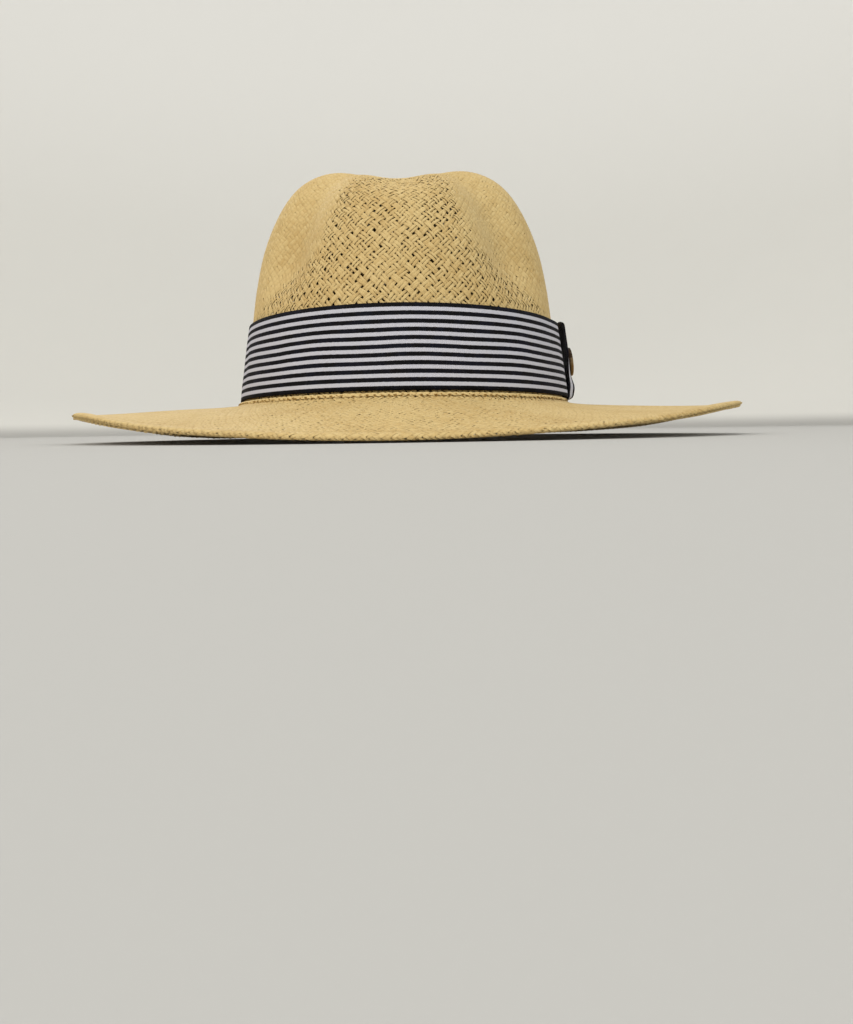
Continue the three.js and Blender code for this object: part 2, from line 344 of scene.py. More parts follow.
class Shader:
    """The nodes of one material, ended by a Principled shader."""

    # Sockets of a Mix node that blend colours: its factor, its two colours and their mix.
    COLOUR_INPUTS = (0, 6, 7)
    COLOUR_OUTPUT = 2

    def __init__(self, name: str, **constants: Any) -> None:
        """Make the material.

        Args:
            name: The material's name.
            constants: Values of the Principled shader's sockets, with _ for a space.
        """
        self.material = bpy.data.materials.new(name)
        self.material.use_nodes = True
        self.tree = self.material.node_tree
        self.surface = self.tree.nodes["Principled BSDF"]
        for socket, value in constants.items():
            self.surface.inputs[socket.replace("_", " ")].default_value = value

    def add(self, kind: str, settings: dict, values: dict, output: str | int = 0) -> Wire:
        """Add a node.

        Args:
            kind: The node's type.
            settings: Its own properties, set before its sockets.
            values: A number, colour or wire for each input, by name or number.
            output: The output that is wanted.

        Returns:
            The wanted output.
        """
        node = self.tree.nodes.new(kind)
        for name, value in settings.items():
            setattr(node, name, value)
        for name, value in values.items():
            if isinstance(value, Wire):
                self.tree.links.new(value.socket, node.inputs[name])
            else:
                node.inputs[name].default_value = value
        return Wire(self, node.outputs[output])

    def place(self, size: tuple = (1, 1, 1), uv: bool = False) -> Wire:
        """Object coordinates, or the piece's own map, stretched by a size along each axis."""
        coordinates = self.add("ShaderNodeTexCoord", {}, {}, "UV" if uv else "Object")
        return self.add("ShaderNodeMapping", {}, {"Vector": coordinates, "Scale": size})

    def parts(self, vector: Wire) -> list[Wire]:
        """The three parts of a vector."""
        first = self.add("ShaderNodeSeparateXYZ", {}, {"Vector": vector})
        return [Wire(self, output) for output in first.socket.node.outputs]

    def noise(self, where: Wire, scale: float, detail: float) -> Wire:
        """Noise at a place, about 0.5 on the whole."""
        values = {"Vector": where, "Scale": scale, "Detail": detail}
        return self.add("ShaderNodeTexNoise", {}, values)

    def attribute(self, name: str) -> Wire:
        """A number kept on the mesh."""
        return self.add("ShaderNodeAttribute", {"attribute_name": name}, {}, "Fac")

    def blend(self, share: Wire, low: Any, high: Any) -> Wire:
        """A mix of two colours."""
        values = dict(zip(self.COLOUR_INPUTS, (share, low, high)))
        return self.add("ShaderNodeMix", {"data_type": "RGBA"}, values, self.COLOUR_OUTPUT)

    def feed(self, **wires: Wire) -> None:
        """Link wires to the Principled shader's sockets, with _ for a space."""
        for name, wire in wires.items():
            self.tree.links.new(wire.socket, self.surface.inputs[name.replace("_", " ")])

    def bump(self, height: Wire, distance: float) -> Wire:
        """A Bump node for a height that is given in shares of a distance in metres."""
        values = {"Height": height, "Distance": distance, "Strength": 1.0}
        return self.add("ShaderNodeBump", {}, values)


@dataclass(frozen=True)
class StrawFinish:
    """Pale natural straw, with painted shade where a strand dives under its neighbours."""

    name: str = "straw"
    pale: tuple = (0.545, 0.400, 0.178, 1)
    golden: tuple = (0.445, 0.297, 0.110, 1)
    # Colour of the painted shade where a strand dives under its neighbours.
    painted_shade: tuple = (0.27, 0.160, 0.048, 1)
    roughness: float = 0.6
    roughness_spread: float = 0.3
    shine: float = 0.2
    fibre_scale: float = 1500
    fibre_relief: float = 0.00006
    patch_scale: float = 38
    tone_share: float = 0.75
    patch_share: float = 0.5
    fibre_share: float = 0.3
    golden_edge: tuple = (0.45, 1.35)
    painted_shade_share: float = 0.46

    def material(self) -> bpy.types.Material:
        """Make the material from the strands' own tone and relief, and from fine fibres; the relief
        gives painted shade where they dive under.
        """
        shader = Shader(self.name, Roughness=self.roughness, Specular_IOR_Level=self.shine)
        where = shader.place()
        fibres = shader.noise(where, self.fibre_scale, detail=3)
        patches = shader.noise(where, self.patch_scale, detail=2)
        tone = shader.attribute("tone") * self.tone_share
        golden = tone + patches * self.patch_share + fibres * self.fibre_share
        colour = shader.blend(golden.step(*self.golden_edge), self.pale, self.golden)
        # Painted shade: darker where a strand dives under its neighbours.
        under = shader.attribute("under") * self.painted_shade_share
        shader.feed(
            Base_Color=shader.blend(under, colour, self.painted_shade),
            Roughness=(fibres - 0.5) * self.roughness_spread + self.roughness,
            Normal=shader.bump(fibres, self.fibre_relief),
        )
        return shader.material


@dataclass(frozen=True)
class RibbonFinish:
    """Striped grosgrain: dark and pale stripes along the ribbon, fine ribs across it."""

    name: str = "ribbon"
    dark: tuple = (0.004, 0.0036, 0.0045, 1)
    navy: tuple = (0.005, 0.0052, 0.0095, 1)
    pale: tuple = (0.47, 0.465, 0.515, 1)
    thread: tuple = (0.36, 0.355, 0.41, 1)
    stripes: int = 21
    width: float = RIBBON_WIDTH
    length: float = 560.0  # round the crown, on which its ribs and threads are counted
    rib: float = 0.95
    waver: float = 0.22
    waver_scale: float = 0.55
    stripe_edge: tuple = (0.47, 0.60)
    navy_scale: float = 0.12
    navy_edge: tuple = (0.42, 0.62)
    threads_along: float = 1.5
    threads_across: float = 9
    thread_share: float = 0.5
    roughness: float = 0.7
    roughness_spread: float = 0.2
    shine: float = 0.06
    relief: float = 0.00012
    rib_relief: float = 0.6
    thread_relief: float = 0.5
    stripe_relief: float = 0.35

    def material(self) -> bpy.types.Material:
        """Make the material on the ribbon's own map, whose u runs along it and v across it."""
        shader = Shader(self.name, Roughness=self.roughness, Specular_IOR_Level=self.shine)
        flat = shader.place((self.length, self.width, 1), uv=True)
        along, across, _ = shader.parts(flat)
        waver = (shader.noise(flat, self.waver_scale, detail=1) - 0.5) * self.waver
        stripe = (across + waver) / (self.width / self.stripes) - 0.5
        stripe = stripe.maths("MINIMUM", stripe.maths("MAXIMUM", stripe, 0.0), self.stripes - 1.0)
        pale = stripe.maths("PINGPONG", stripe, 1.0).step(*self.stripe_edge)
        fine = (self.length * self.threads_along, self.width * self.threads_across, 1)
        threads = shader.noise(shader.place(fine, uv=True), 1.0, detail=2)
        navy = shader.noise(flat, self.navy_scale, detail=1).step(*self.navy_edge)
        dark = shader.blend(navy, self.dark, self.navy)
        light = shader.blend(threads * self.thread_share, self.pale, self.thread)
        ribs = along.maths("PINGPONG", along, self.rib / 2) / (self.rib / 2)
        height = ribs * self.rib_relief + threads * self.thread_relief + pale * self.stripe_relief
        shader.feed(
            Base_Color=shader.blend(pale, dark, light),
            Roughness=(threads - 0.5) * self.roughness_spread + self.roughness,
            Normal=shader.bump(height, self.relief),
        )
        return shader.material


@dataclass(frozen=True)
class BrassFinish:
    """Antiqued brass, dark where it isn't rubbed, and with painted shade on the badge's upper half."""

    name: str = "antique_brass"
    bright: tuple = (0.27, 0.185, 0.095, 1)
    dark: tuple = (0.04, 0.024, 0.016, 1)
    cloud_scale: float = 420
    cloud_share: float = 0.8
    worn_and_lit_edge: tuple = (0.55, 1.15)
    roughness: float = 0.62
    polish: float = 0.32
    cloud_roughness: float = 0.08
    relief: float = 0.00005

    def material(self) -> bpy.types.Material:
        """Make the material; the tarnish lies where the mesh's own wear is low, and the same attribute
        carries painted shade on the badge's upper half.
        """
        shader = Shader(self.name, Metallic=1.0)
        cloud = shader.noise(shader.place(), self.cloud_scale, detail=4)
        worn_and_lit = (shader.attribute("wear") + cloud * self.cloud_share).step(*self.worn_and_lit_edge)
        shader.feed(
            Base_Color=shader.blend(worn_and_lit, self.dark, self.bright),
            Roughness=self.roughness - worn_and_lit * self.polish + cloud * self.cloud_roughness,
            Normal=shader.bump(cloud, self.relief),
        )
        return shader.material


@dataclass(frozen=True)
class PaperFinish:
    """Plain matt pale paper with a painted fall-off of light: greyer on the floor, and paler up the
    wall.
    """

    name: str = "studio_paper"
    # The floor's grey is painted shade, and the wall's rise to paler is painted light.
    floor: tuple = (0.425, 0.415, 0.395, 1)
    low_wall: tuple = (0.735, 0.72, 0.68, 1)
    high_wall_painted_light: tuple = (0.865, 0.85, 0.82, 1)
    floor_fade: tuple = (0.0, 0.05)
    painted_light_fade: tuple = (0.2, 1.9)
    roughness: float = 0.95
    shine: float = 0.1

    def material(self) -> bpy.types.Material:
        """Make the material, whose painted light goes by height."""
        shader = Shader(self.name, Roughness=self.roughness, Specular_IOR_Level=self.shine)
        height = shader.parts(shader.place())[2]
        wall = shader.blend(height.step(*self.painted_light_fade), self.low_wall, self.high_wall_painted_light)
        shader.feed(Base_Color=shader.blend(height.step(*self.floor_fade), self.floor, wall))
        return shader.material


# ---- Meshes -------------------------------------------------------------------------------------


def show(piece: bpy.types.Object, material: bpy.types.Material, slot: str, *nodes: str) -> None:
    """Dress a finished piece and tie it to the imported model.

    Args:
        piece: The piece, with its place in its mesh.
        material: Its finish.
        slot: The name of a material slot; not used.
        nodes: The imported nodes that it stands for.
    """
    piece.data.materials.clear()
    piece.data.materials.append(material)
    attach(piece, BODY)
    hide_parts(*nodes)
    triangles = sum(len(face.vertices) - 2 for face in piece.data.polygons)
    log.info("%s: %d triangles, stands for %s", piece.name, triangles, ", ".join(nodes))


@dataclass
class Plait:
    """Many strands alike: the centre line, the side and the up direction of each one's rings."""

    centre: np.ndarray
    normal: np.ndarray
    half_width: np.ndarray
    tone: np.ndarray
    # How far each ring dives under its neighbours, which the straw shows as painted shade.
    under: np.ndarray
    half_thick: float = 0.17
    closed: bool = False

    # Corners of a strand's section, across and up; the one on top is shaded round.
    SECTION = ((-1.0, -0.6), (0.0, 1.0), (1.0, -0.6))
    TOP_CORNER = 1

    def vertices(self) -> np.ndarray:
        """The rings' points, by strand, ring and corner."""
        if self.closed:
            ahead = np.roll(self.centre, -1, 1) - np.roll(self.centre, 1, 1)
        else:
            ahead = np.gradient(self.centre, axis=1)
        ahead = unit(ahead)
        side = unit(np.cross(ahead, self.normal))
        up = np.cross(side, ahead)
        corners = [
            self.centre
            + side * (across * self.half_width)[..., None]
            + up * (height * self.half_thick)
            for across, height in self.SECTION
        ]
        return np.stack(corners, 2)

    def faces(self, first: int) -> list[list[int]]:
        """Faces of all strands, their points numbered from first."""
        strands, rings = self.centre.shape[:2]
        corners = len(self.SECTION)
        number = first + np.arange(strands * rings * corners).reshape(strands, rings, corners)
        ahead = np.roll(number, -1, 1) if self.closed else number[:, 1:]
        behind = number if self.closed else number[:, :-1]
        quads = np.stack([behind, np.roll(behind, -1, 2), np.roll(ahead, -1, 2), ahead], -1)
        faces = quads.reshape(-1, 4).tolist()
        if not self.closed:
            faces += number[:, 0, ::-1].tolist() + number[:, -1].tolist()
        return faces


def plaited_mesh(name: str, plaits: list[Plait], form: HatForm) -> bpy.types.Object:
    """One object of many strands.

    Args:
        name: The piece's name.
        plaits: The strands.
        form: The hat, for its place.

    Returns:
        The object, shaded smooth but for the strands' lower edges, with each point's tone and how
        far it dives under its neighbours, for painted shade, as attributes.
    """
    corners = len(Plait.SECTION)
    points, faces, count = [], [], 0
    for plait in plaits:
        points.append(plait.vertices().reshape(-1, 3))
        faces += plait.faces(count)
        count += len(points[-1])
    mesh = bpy.data.meshes.new(name)
    mesh.from_pydata(form.to_world(np.concatenate(points)).tolist(), [], faces)
    for label in ("tone", "under"):
        rings = np.concatenate([getattr(plait, label).ravel() for plait in plaits])
        values = mesh.attributes.new(label, "FLOAT", "POINT").data
        values.foreach_set("value", np.repeat(rings, corners))
    mesh.shade_smooth()
    ends = np.zeros(len(mesh.edges) * 2, np.int32)
    mesh.edges.foreach_get("vertices", ends)
    start, end = (ends.reshape(-1, 2) % corners).T
    sharp = (start == end) & (start != Plait.TOP_CORNER)
    mesh.attributes.new("sharp_edge", "BOOLEAN", "EDGE").data.foreach_set("value", sharp)
    piece = bpy.data.objects.new(name, mesh)
    bpy.context.collection.objects.link(piece)
    return piece


class Wander:
    """Smooth seeded unevenness over a surface that closes on itself round the hat."""

    def __init__(
        self, random: np.random.Generator, waves: int, around: tuple, along: tuple
    ) -> None:
        """Draw the waves.

        Args:
            random: The source of chance.
            waves: How many are summed.
            around: Fewest and most waves round the hat.
            along: Least and most waves for each unit of lead.
        """
        self.around = random.integers(*around, waves) * random.choice((-1, 1), waves)
        self.along = random.uniform(*along, waves)
        self.phase = random.uniform(0, 2 * math.pi, waves)

    def __call__(self, share: np.ndarray, lead: np.ndarray) -> np.ndarray:
        """The unevenness, mostly from -1 to 1."""
        turns = share[..., None] * self.around + lead[..., None] * self.along
        return np.sin(2 * math.pi * turns + self.phase).sum(-1) / math.sqrt(len(self.phase))


class Slant(Enum):
    """The two ways that strands run, seen from outside: up to the right or up to the left."""

    RISING = 1
    FALLING = -1


@dataclass(frozen=True)
class Gauge:
    """Sizes of a weave, in millimetres or in shares of the pitch of its paired strands."""

    # Pitch of the pairs at the start of the first zone and of the others, and where a zone ends.
    widest: float = 4.1
    relaid: float = 3.2
    narrowest: float = 1.75
    fewest: int = 4  # pairs in a zone
    loosest: float = 1.5  # greatest openness

    # A strand's half width and its distance from the middle of its pair, in close and loose weave.
    half_width: float = 0.255
    open_width: float = 0.177
    close_spread: float = 0.25
    spread: float = 0.207

    # How a strand passes over and under the others, and is tucked in.
    lift: float = 0.23
    close_lift: float = 0.5  # share of the lift in close weave
    half_thick: float = 0.18
    plateau: float = 0.27  # half the length of a crossing, in rows
    tuck: float = -0.85  # the first end, in rows from the zone's start
    last_tuck: float = -0.15  # the last end, in rows from the zone's end
    sunk: float = 0.9  # depth of both ends

    # Unevenness of the strands' paths and widths.
    sway: float = 0.35  # of many strands together
    jitter: float = 0.27  # of each strand
    close_jitter: float = 0.35  # share of the jitter in close weave
    pace: tuple = (0.3, 1.7)  # least and greatest, in radians a row
    swell: float = 0.1  # share of the width
    small_girth: float = 200.0  # under which a path's unevenness fades

    # Tone: mean and spread of the strands, and how far it changes along a strand, from crossing to
    # crossing and in patches.
    tone: tuple = (0.5, 0.11)
    tone_drift: float = 0.08
    fleck: float = 0.13
    patch: float = 0.12


@dataclass(frozen=True)
class Zone:
    """A ring of the weave with one number of paired strands."""

    pairs: int
    start: float
    end: float

    @property
    def rows(self) -> int:
        """Rows of crossings in the zone."""
        return max(1, round(2 * self.pairs * (self.end - self.start)))


class Weave:
    """A basket weave of paired strands that cross at right angles, wound slantwise round the hat.

    A place on it is a share of the way round and a lead, which grows so that strands with a constant
    slope in it run at 45 degrees. New pairs are laid in where the surface widens, zone by zone.
    """

    SIDES = 360
    PAIR_PITCH = math.sqrt(2)  # girth that a pair takes up for each unit of its pitch

    # How many waves are summed, and the least and most of them round the hat and along the lead.
    SWAY_WAVES = (5, (6, 34), (-30, 30))
    SHADE_WAVES = (4, (2, 14), (-9, 9))

    def __init__(
        self,
        surface: Callable,
        openness: Callable,
        start: float,
        end: float,
        gauge: Gauge,
        seed: int,
        samples: int = 400,
    ) -> None:
        """Measure the surface.

        Args:
            surface: Gives points from turns and ways.
            openness: How loose the weave is, from 0 to 1, from points and ways.
            start: First way.
            end: Last way.
            gauge: The weave's sizes.
            seed: Seed of its unevenness.
            samples: Number of rings that are measured.
        """
        self.surface, self.openness, self.gauge = surface, openness, gauge
        self.random = np.random.default_rng(seed)
        self.ways = np.linspace(start, end, samples)
        turns = np.linspace(0, 360, self.SIDES + 1)
        grid = surface(turns[None, :], self.ways[:, None])
        steps = np.linalg.norm(np.diff(grid, axis=1), axis=-1)
        self.girth = steps.sum(1)
        shares = np.concatenate([np.zeros((samples, 1)), np.cumsum(steps, 1)], 1)
        shares = shares / self.girth[:, None]
        self.turns = np.array([np.interp(turns / 360, share, turns) for share in shares])
        climb = np.linalg.norm(np.diff(grid, axis=0), axis=-1).mean(1)
        lead = np.cumsum(climb / (self.girth[1:] + self.girth[:-1]) * 2)
        self.lead = np.concatenate([[0], lead])
        self.sway_round = Wander(self.random, *self.SWAY_WAVES)
        self.sway_up = Wander(self.random, *self.SWAY_WAVES)
        self.shade = Wander(self.random, *self.SHADE_WAVES)

    def zones(self) -> list[Zone]:
        """Divide the surface where its paired strands would get too crowded."""
        zones, begin, widest = [], 0, self.gauge.widest
        while begin < len(self.ways) - 1:
            pairs = max(self.gauge.fewest, round(self.girth[begin] / (self.PAIR_PITCH * widest)))
            crowded = self.girth[begin:] < pairs * self.PAIR_PITCH * self.gauge.narrowest
            end = begin + int(np.argmax(crowded)) if crowded.any() else len(self.ways) - 1
            end = max(end, begin + 1)
            zones.append(Zone(pairs, self.lead[begin], self.lead[end]))
            begin, widest = end, self.gauge.relaid
        return zones

    def point(self, share: np.ndarray, lead: np.ndarray) -> np.ndarray:
        """The surface's point at a share of the way round and a lead."""
        row = np.interp(lead, self.lead, np.arange(len(self.ways)))
        way = np.interp(lead, self.lead, self.ways)
        spot = (share % 1) * self.SIDES
        low_row = np.clip(row.astype(int), 0, len(self.ways) - 2)
        low_spot = np.clip(spot.astype(int), 0, self.SIDES - 1)
        up, on = row - low_row, spot - low_spot
        below, above = (
            (1 - on) * self.turns[ring, low_spot] + on * self.turns[ring, low_spot + 1]
            for ring in (low_row, low_row + 1)
        )
        return self.surface((1 - up) * below + up * above, way)

    def normal(self, share: np.ndarray, lead: np.ndarray, reach: float = 0.0012) -> np.ndarray:
        """The surface's outward direction."""
        around = self.point(share + reach, lead) - self.point(share - reach, lead)
        upward = self.point(share, lead + reach) - self.point(share, lead - reach)
        return unit(np.cross(around, upward))

    def crossings(self, zone: Zone, slant: Slant) -> tuple[np.ndarray, np.ndarray, np.ndarray]:
        """Where the strands of one slant pass over and under the others.

        Args:
            zone: The ring of weave.
            slant: The way the strands run.

        Returns:
            For each strand, which of its pair it is, as -1 or 1. For each of its rings, a place in rows
            of crossings, and a height, 1 where it is over and -1 where it is under.
        """
        gauge = self.gauge
        hand = 2 * (np.arange(2 * zone.pairs) % 2) - 1
        crossing = np.arange(zone.rows)
        place = crossing[None, :, None] - slant.value * gauge.spread * hand[:, None, None]
        place = place + gauge.plateau * np.array([-1, 1])[None, None, :]
        over = np.where((crossing % 2 == 0) == (slant is Slant.RISING), 1.0, -1.0)
        over = np.broadcast_to(over[None, :, None], place.shape)
        rings = (len(hand), -1)
        ends = np.ones((len(hand), 1))
        first, last = gauge.tuck * ends, (zone.rows + gauge.last_tuck) * ends
        place = np.concatenate([first, place.reshape(rings), last], 1)
        height = np.concatenate([ends, over.reshape(rings), ends], 1)
        return hand[:, None], place, height

    def strands(self, zone: Zone, slant: Slant) -> Plait:
        """All the strands of one slant in a zone.

        Args:
            zone: The ring of weave.
            slant: The way they run.

        Returns:
            The strands, each tucked in at both ends.
        """
        gauge, sign = self.gauge, slant.value
        hand, place, height = self.crossings(zone, slant)
        count = len(hand)
        share = (np.arange(count)[:, None] // 2 + 0.5 + gauge.spread * hand) / zone.pairs
        share = share + sign * place / (2 * zone.pairs)
        lead = zone.start + place * (zone.end - zone.start) / zone.rows
        way = np.interp(lead, self.lead, self.ways)
        loose = np.clip(self.openness(self.point(share, lead), way), 0, gauge.loosest)
        girth = np.interp(lead, self.lead, self.girth)
        share = share + (gauge.close_spread - gauge.spread) * (1 - loose) * hand / zone.pairs

        phase = self.random.uniform(0, 2 * math.pi, (5, count, 1))
        pace = self.random.uniform(*gauge.pace, (5, count, 1))
        wobble = np.sin(place * pace + phase)
        steady = np.minimum(1, girth / gauge.small_girth) / girth
        jitter = gauge.jitter * mix(gauge.close_jitter, 1, loose) * wobble[:3].sum(0)
        share = share + jitter * steady
        sway_round = gauge.sway * steady * self.sway_round(share, lead)
        lead = lead + gauge.sway * steady * self.sway_up(share, lead)
        share = share + sway_round
        normal = self.normal(share, lead)
        rise = height * gauge.lift * mix(gauge.close_lift, 1, loose)
        rise[:, [0, -1]] = -gauge.sunk
        centre = self.point(share, lead) + normal * (rise - STRAW_WALL / 2)[..., None]

        flecks = np.repeat(self.random.normal(0, gauge.fleck, (count, zone.rows)), 2, 1)
        flecks = np.pad(flecks, ((0, 0), (1, 1)))
        tone = self.random.normal(*gauge.tone, (count, 1)) + gauge.tone_drift * wobble[3] + flecks
        tone = tone + gauge.patch * self.shade(share, lead)
        pitch = girth / (zone.pairs * self.PAIR_PITCH)
        half_width = mix(gauge.half_width, gauge.open_width, loose) * pitch
        swell = 1 + gauge.swell * loose * (wobble[3] + wobble[4])
        return Plait(
            centre,
            normal,
            half_width * swell,
            np.clip(tone, 0, 1),
            # Painted shade where a strand dives under the others.
            (1 - height) / 2,
            gauge.half_thick,
        )

    def families(
        self, name: str, zones: list[Zone], form: HatForm, proud: float = 0.0
    ) -> list[bpy.types.Object]:
        """Make the strands of both slants in some zones.

        Args:
            name: The pieces' name, which the slant ends.
            zones: The zones.
            form: The hat, for its place.
            proud: How far the strands stand off the surface's wall.

        Returns:
            One piece for each slant.
        """
        pieces = []
        for slant in Slant:
            plaits = [self.strands(zone, slant) for zone in zones]
            for plait in plaits:
                plait.centre = plait.centre + plait.normal * proud
            pieces.append(plaited_mesh(f"{name}_{slant.name.lower()}", plaits, form))
        return pieces


# ---- Crown and brim -----------------------------------------------------------------------------


@dataclass
class Crown:
    """The crown: paired strands of straw wound slantwise from the foot up to the middle of the tip.

    The weave is loose in front between the pinches and right round by the band, and close elsewhere.
    """

    form: HatForm
    straw: bpy.types.Material
    gauge: Gauge = Gauge()
    seed: int = SEED
    last_way: float = 10.86  # sections up from the foot, just under the knot

    # Looseness of the close weave, what the ring by the band adds and what the patch gains high up.
    closest: float = 0.2
    by_band: float = 0.55
    top_gain: float = 0.9

    # Start and span of ramps: up to where the patch is loosest, forward into it, down into the ring.
    top_from: tuple = (94.0, 10.0)
    front_from: tuple = (14.0, 32.0)
    band_from: tuple = (50.0, -10.0)

    # Width of the patch's faded edge, low down and at the top.
    fade: tuple = (6.0, 20.0)

    # Half the width of the loose patch in front, at heights from the band up.
    LOOSE_COLUMNS = ("height", "half")
    LOOSE = ((36.0, 96.0), (44.0, 70.0), (53.0, 57.0), (67.0, 35.0), (105.0, 23.0), (125.0, 26.0))

    def openness(self, point: np.ndarray, way: np.ndarray) -> np.ndarray:
        """How loose the weave is at points of the crown."""
        x, y, z = np.moveaxis(point, -1, 0)
        heights = column(self.LOOSE, self.LOOSE_COLUMNS, "height")
        half = np.interp(z, heights, column(self.LOOSE, self.LOOSE_COLUMNS, "half"))
        high = ramp(z, *self.top_from)
        fade = mix(*self.fade, high)
        patch = ramp(np.abs(x), half + fade / 2, -fade) * ramp(-y, *self.front_from)
        ring = ramp(z, *self.band_from)
        loose = np.maximum(patch * (1 + self.top_gain * high), self.by_band * ring)
        return mix(self.closest, 1, loose)

    def build(self) -> None:
        """Make both families of strands, of the side and of the tip."""
        weave = Weave(self.form.crown, self.openness, 0.0, self.last_way, self.gauge, self.seed)
        zones = weave.zones()
        log.info("crown zones: %s", [(zone.pairs, zone.rows) for zone in zones])
        for part, rings in (("side", zones[:1]), ("tip", zones[1:])):
            for piece in weave.families(f"crown_{part}", rings, self.form):
                show(piece, self.straw, "straw_crown", "crown")


@dataclass
class Brim:
    """The brim: the same weave laid flat, and its edge woven back on itself."""

    form: HatForm
    straw: bpy.types.Material
    gauge: Gauge = Gauge(
        widest=3.5, relaid=3.5, narrowest=2.72, lift=0.26, half_thick=0.15, sunk=0.55
    )
    lip_gauge: Gauge = Gauge(
        widest=3.04, narrowest=1.0, open_width=0.15, lift=0.22, half_thick=0.17, sunk=0.5
    )
    seed: int = SEED + 1
    lip_seed: int = SEED + 20

    # The flat part starts at an inset from the rim and ends a little inside the crown's foot, where
    # it rises to the join. Ways on it are shares of the brim's width, from the rim in.
    inset: float = 7.0
    last_way: float = 1.012
    root_from: tuple = (0.93, 0.05)  # start and span
    root_rise: float = 1.35

    # Looseness of the flat part and what its root adds; of a lip and what its dotted row adds.
    flat_loose: float = 0.36
    root_loose: float = 0.24
    root_loose_from: tuple = (0.915, 0.015)
    lip_loose: float = 0.2
    dots_loose: float = 1.3
    dots_row: float = 2.5  # of the lip's table
    dots_width: float = 0.7

    # The lower lip is set in at the front end and raised at both ends, clear of the floor.
    end_from: tuple = (0.72, 0.2)  # start and span, in the cosine of the turn
    front_inset: float = 1.0
    front_raise: float = 0.65
    back_raise: float = 0.45

    # The two lips of the woven-back edge, with a groove between them: inset from the rim and height.
    LIP_COLUMNS = ("inset", "height")
    UPPER_LIP = (
        (2.6, -0.7),
        (1.4, -0.5),
        (0.45, -0.05),
        (0.65, 0.55),
        (2.0, 1.1),
        (4.2, 1.25),
        (6.4, 0.95),
        (8.6, 0.2),
    )
    LOWER_LIP = (
        (8.6, -0.3),
        (6.4, -0.85),
        (4.2, -1.1),
        (2.2, -1.15),
        (1.15, -1.1),
        (0.85, -0.95),
        (1.3, -0.75),
        (2.4, -0.65),
    )

    @property
    def width(self) -> float:
        """Width of the brim at its side, on which its fractions are measured."""
        return BRIM_SIDE - float(self.form.crown_reach(np.zeros(1))[0][0]) + STRAW_WALL

    def flat(self, turn: np.ndarray, way: np.ndarray) -> np.ndarray:
        """Upper face of the brim, from its edge in to its root."""
        point = self.form.brim(turn, 1 - way)
        point[..., 2] += STRAW_WALL / 2 + self.root_rise * smooth(ramp(way, *self.root_from))
        return point

    def lip(self, rows: tuple, turn: np.ndarray, row: np.ndarray) -> np.ndarray:
        """Outer face of a lip of the edge, at places counted in rows of its table."""
        inset, height = (
            through_rows(column(rows, self.LIP_COLUMNS, name), row) for name in self.LIP_COLUMNS
        )
        if rows is self.LOWER_LIP:
            ahead = np.cos(np.radians(turn))
            front, back = ramp(ahead, *self.end_from), ramp(-ahead, *self.end_from)
            inset = inset + self.front_inset * front
            height = height + self.front_raise * front + self.back_raise * back
        point = self.form.brim(turn, 1 - inset / self.width)
        point[..., 2] += height
        return point

    def flat_openness(self, point: np.ndarray, way: np.ndarray) -> np.ndarray:
        """Close, but a little looser at the root."""
        return self.flat_loose + self.root_loose * ramp(way, *self.root_loose_from)

    def lip_openness(self, point: np.ndarray, way: np.ndarray) -> np.ndarray:
        """Close, but for one row of holes."""
        return self.lip_loose + self.dots_loose * bell(way, self.dots_row, self.dots_width)

    def build(self) -> None:
        """Make both families of strands, of the flat part and of the two lips of the edge."""
        first = self.inset / self.width
        flat = Weave(self.flat, self.flat_openness, first, self.last_way, self.gauge, self.seed)
        self.build_part("brim_straw", flat, 0.0)
        lips = {"upper_lip": self.UPPER_LIP, "lower_lip": self.LOWER_LIP}
        for number, (name, rows) in enumerate(lips.items()):
            surface, last, seed = partial(self.lip, rows), len(rows) - 1.0, self.lip_seed + number
            lip = Weave(surface, self.lip_openness, 0.0, last, self.lip_gauge, seed)
            self.build_part(name, lip, STRAW_WALL / 2)

    def build_part(self, name: str, weave: Weave, proud: float) -> None:
        """Make and dress both families of strands of one part of the brim.

        Args:
            name: The part's name.
            weave: Its weave.
            proud: How far the strands stand off the surface's wall.
        """
        zones = weave.zones()
        log.info("%s zones: %s", name, [(zone.pairs, zone.rows) for zone in zones])
        for piece in weave.families(name, zones, self.form, proud):
            show(piece, self.straw, "straw_brim", "brim")


